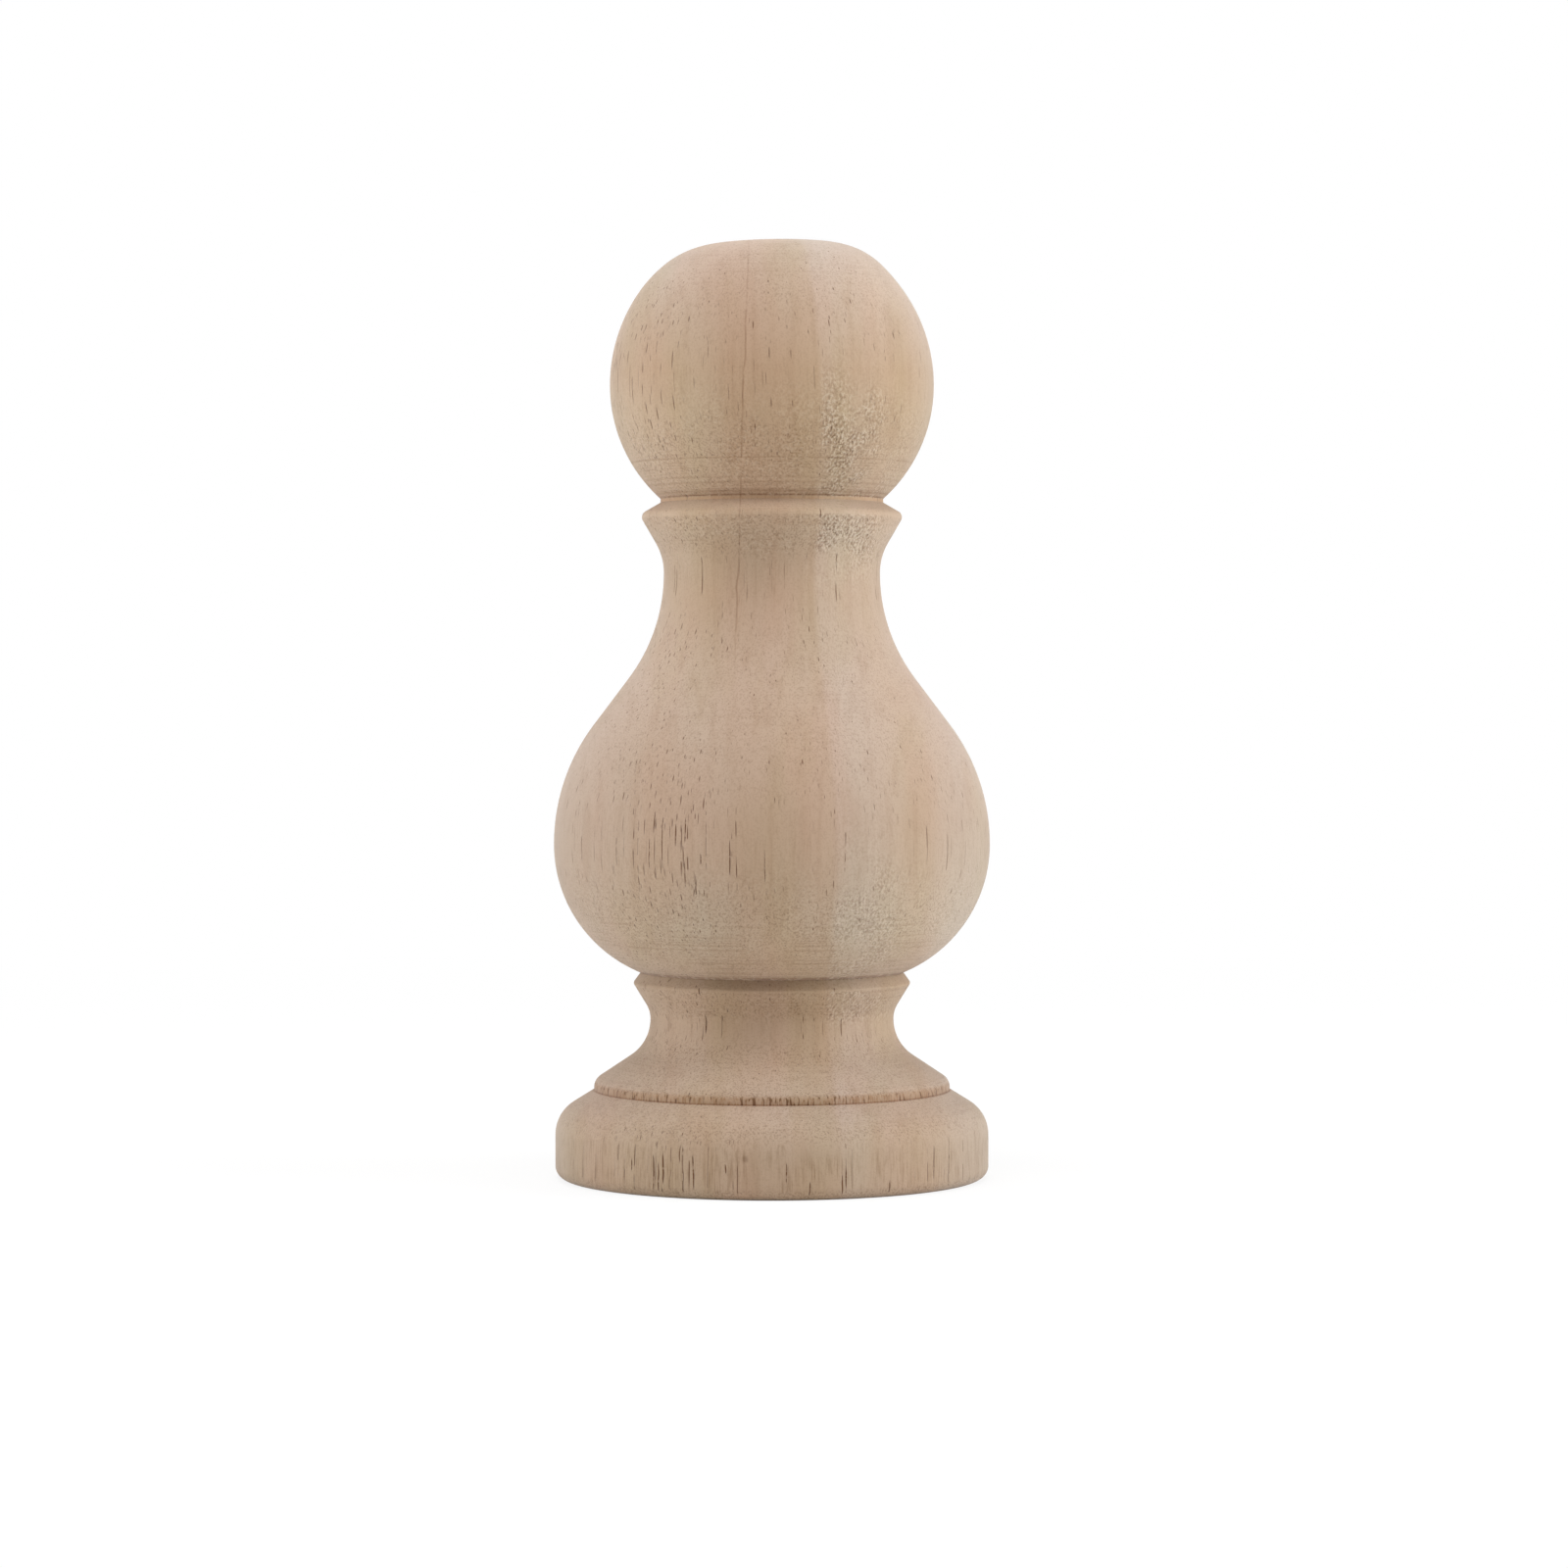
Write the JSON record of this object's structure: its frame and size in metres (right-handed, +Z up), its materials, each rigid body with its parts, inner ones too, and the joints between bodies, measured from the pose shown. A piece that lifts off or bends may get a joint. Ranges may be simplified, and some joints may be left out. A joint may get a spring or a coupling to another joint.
{
  "type": "ball finial",
  "caption": "Turned raw wood finial with a ball on a vase and a round moulded base, for the top of a newel post.",
  "frame": {"origin": "centre of the seat, the flat face that stands on the post", "axes": "+Z up the turning axis, towards the ball; the form is round, so X and Y are free"},
  "size_m": [0.0746, 0.0746, 0.16],
  "materials": {
    "raw_wood": "raw, unsealed, sanded on the lathe, with open pores and some torn grain"
  },
  "bodies": {
    "root": {"turned_finial": "raw_wood"}
  },
  "joints": []
}
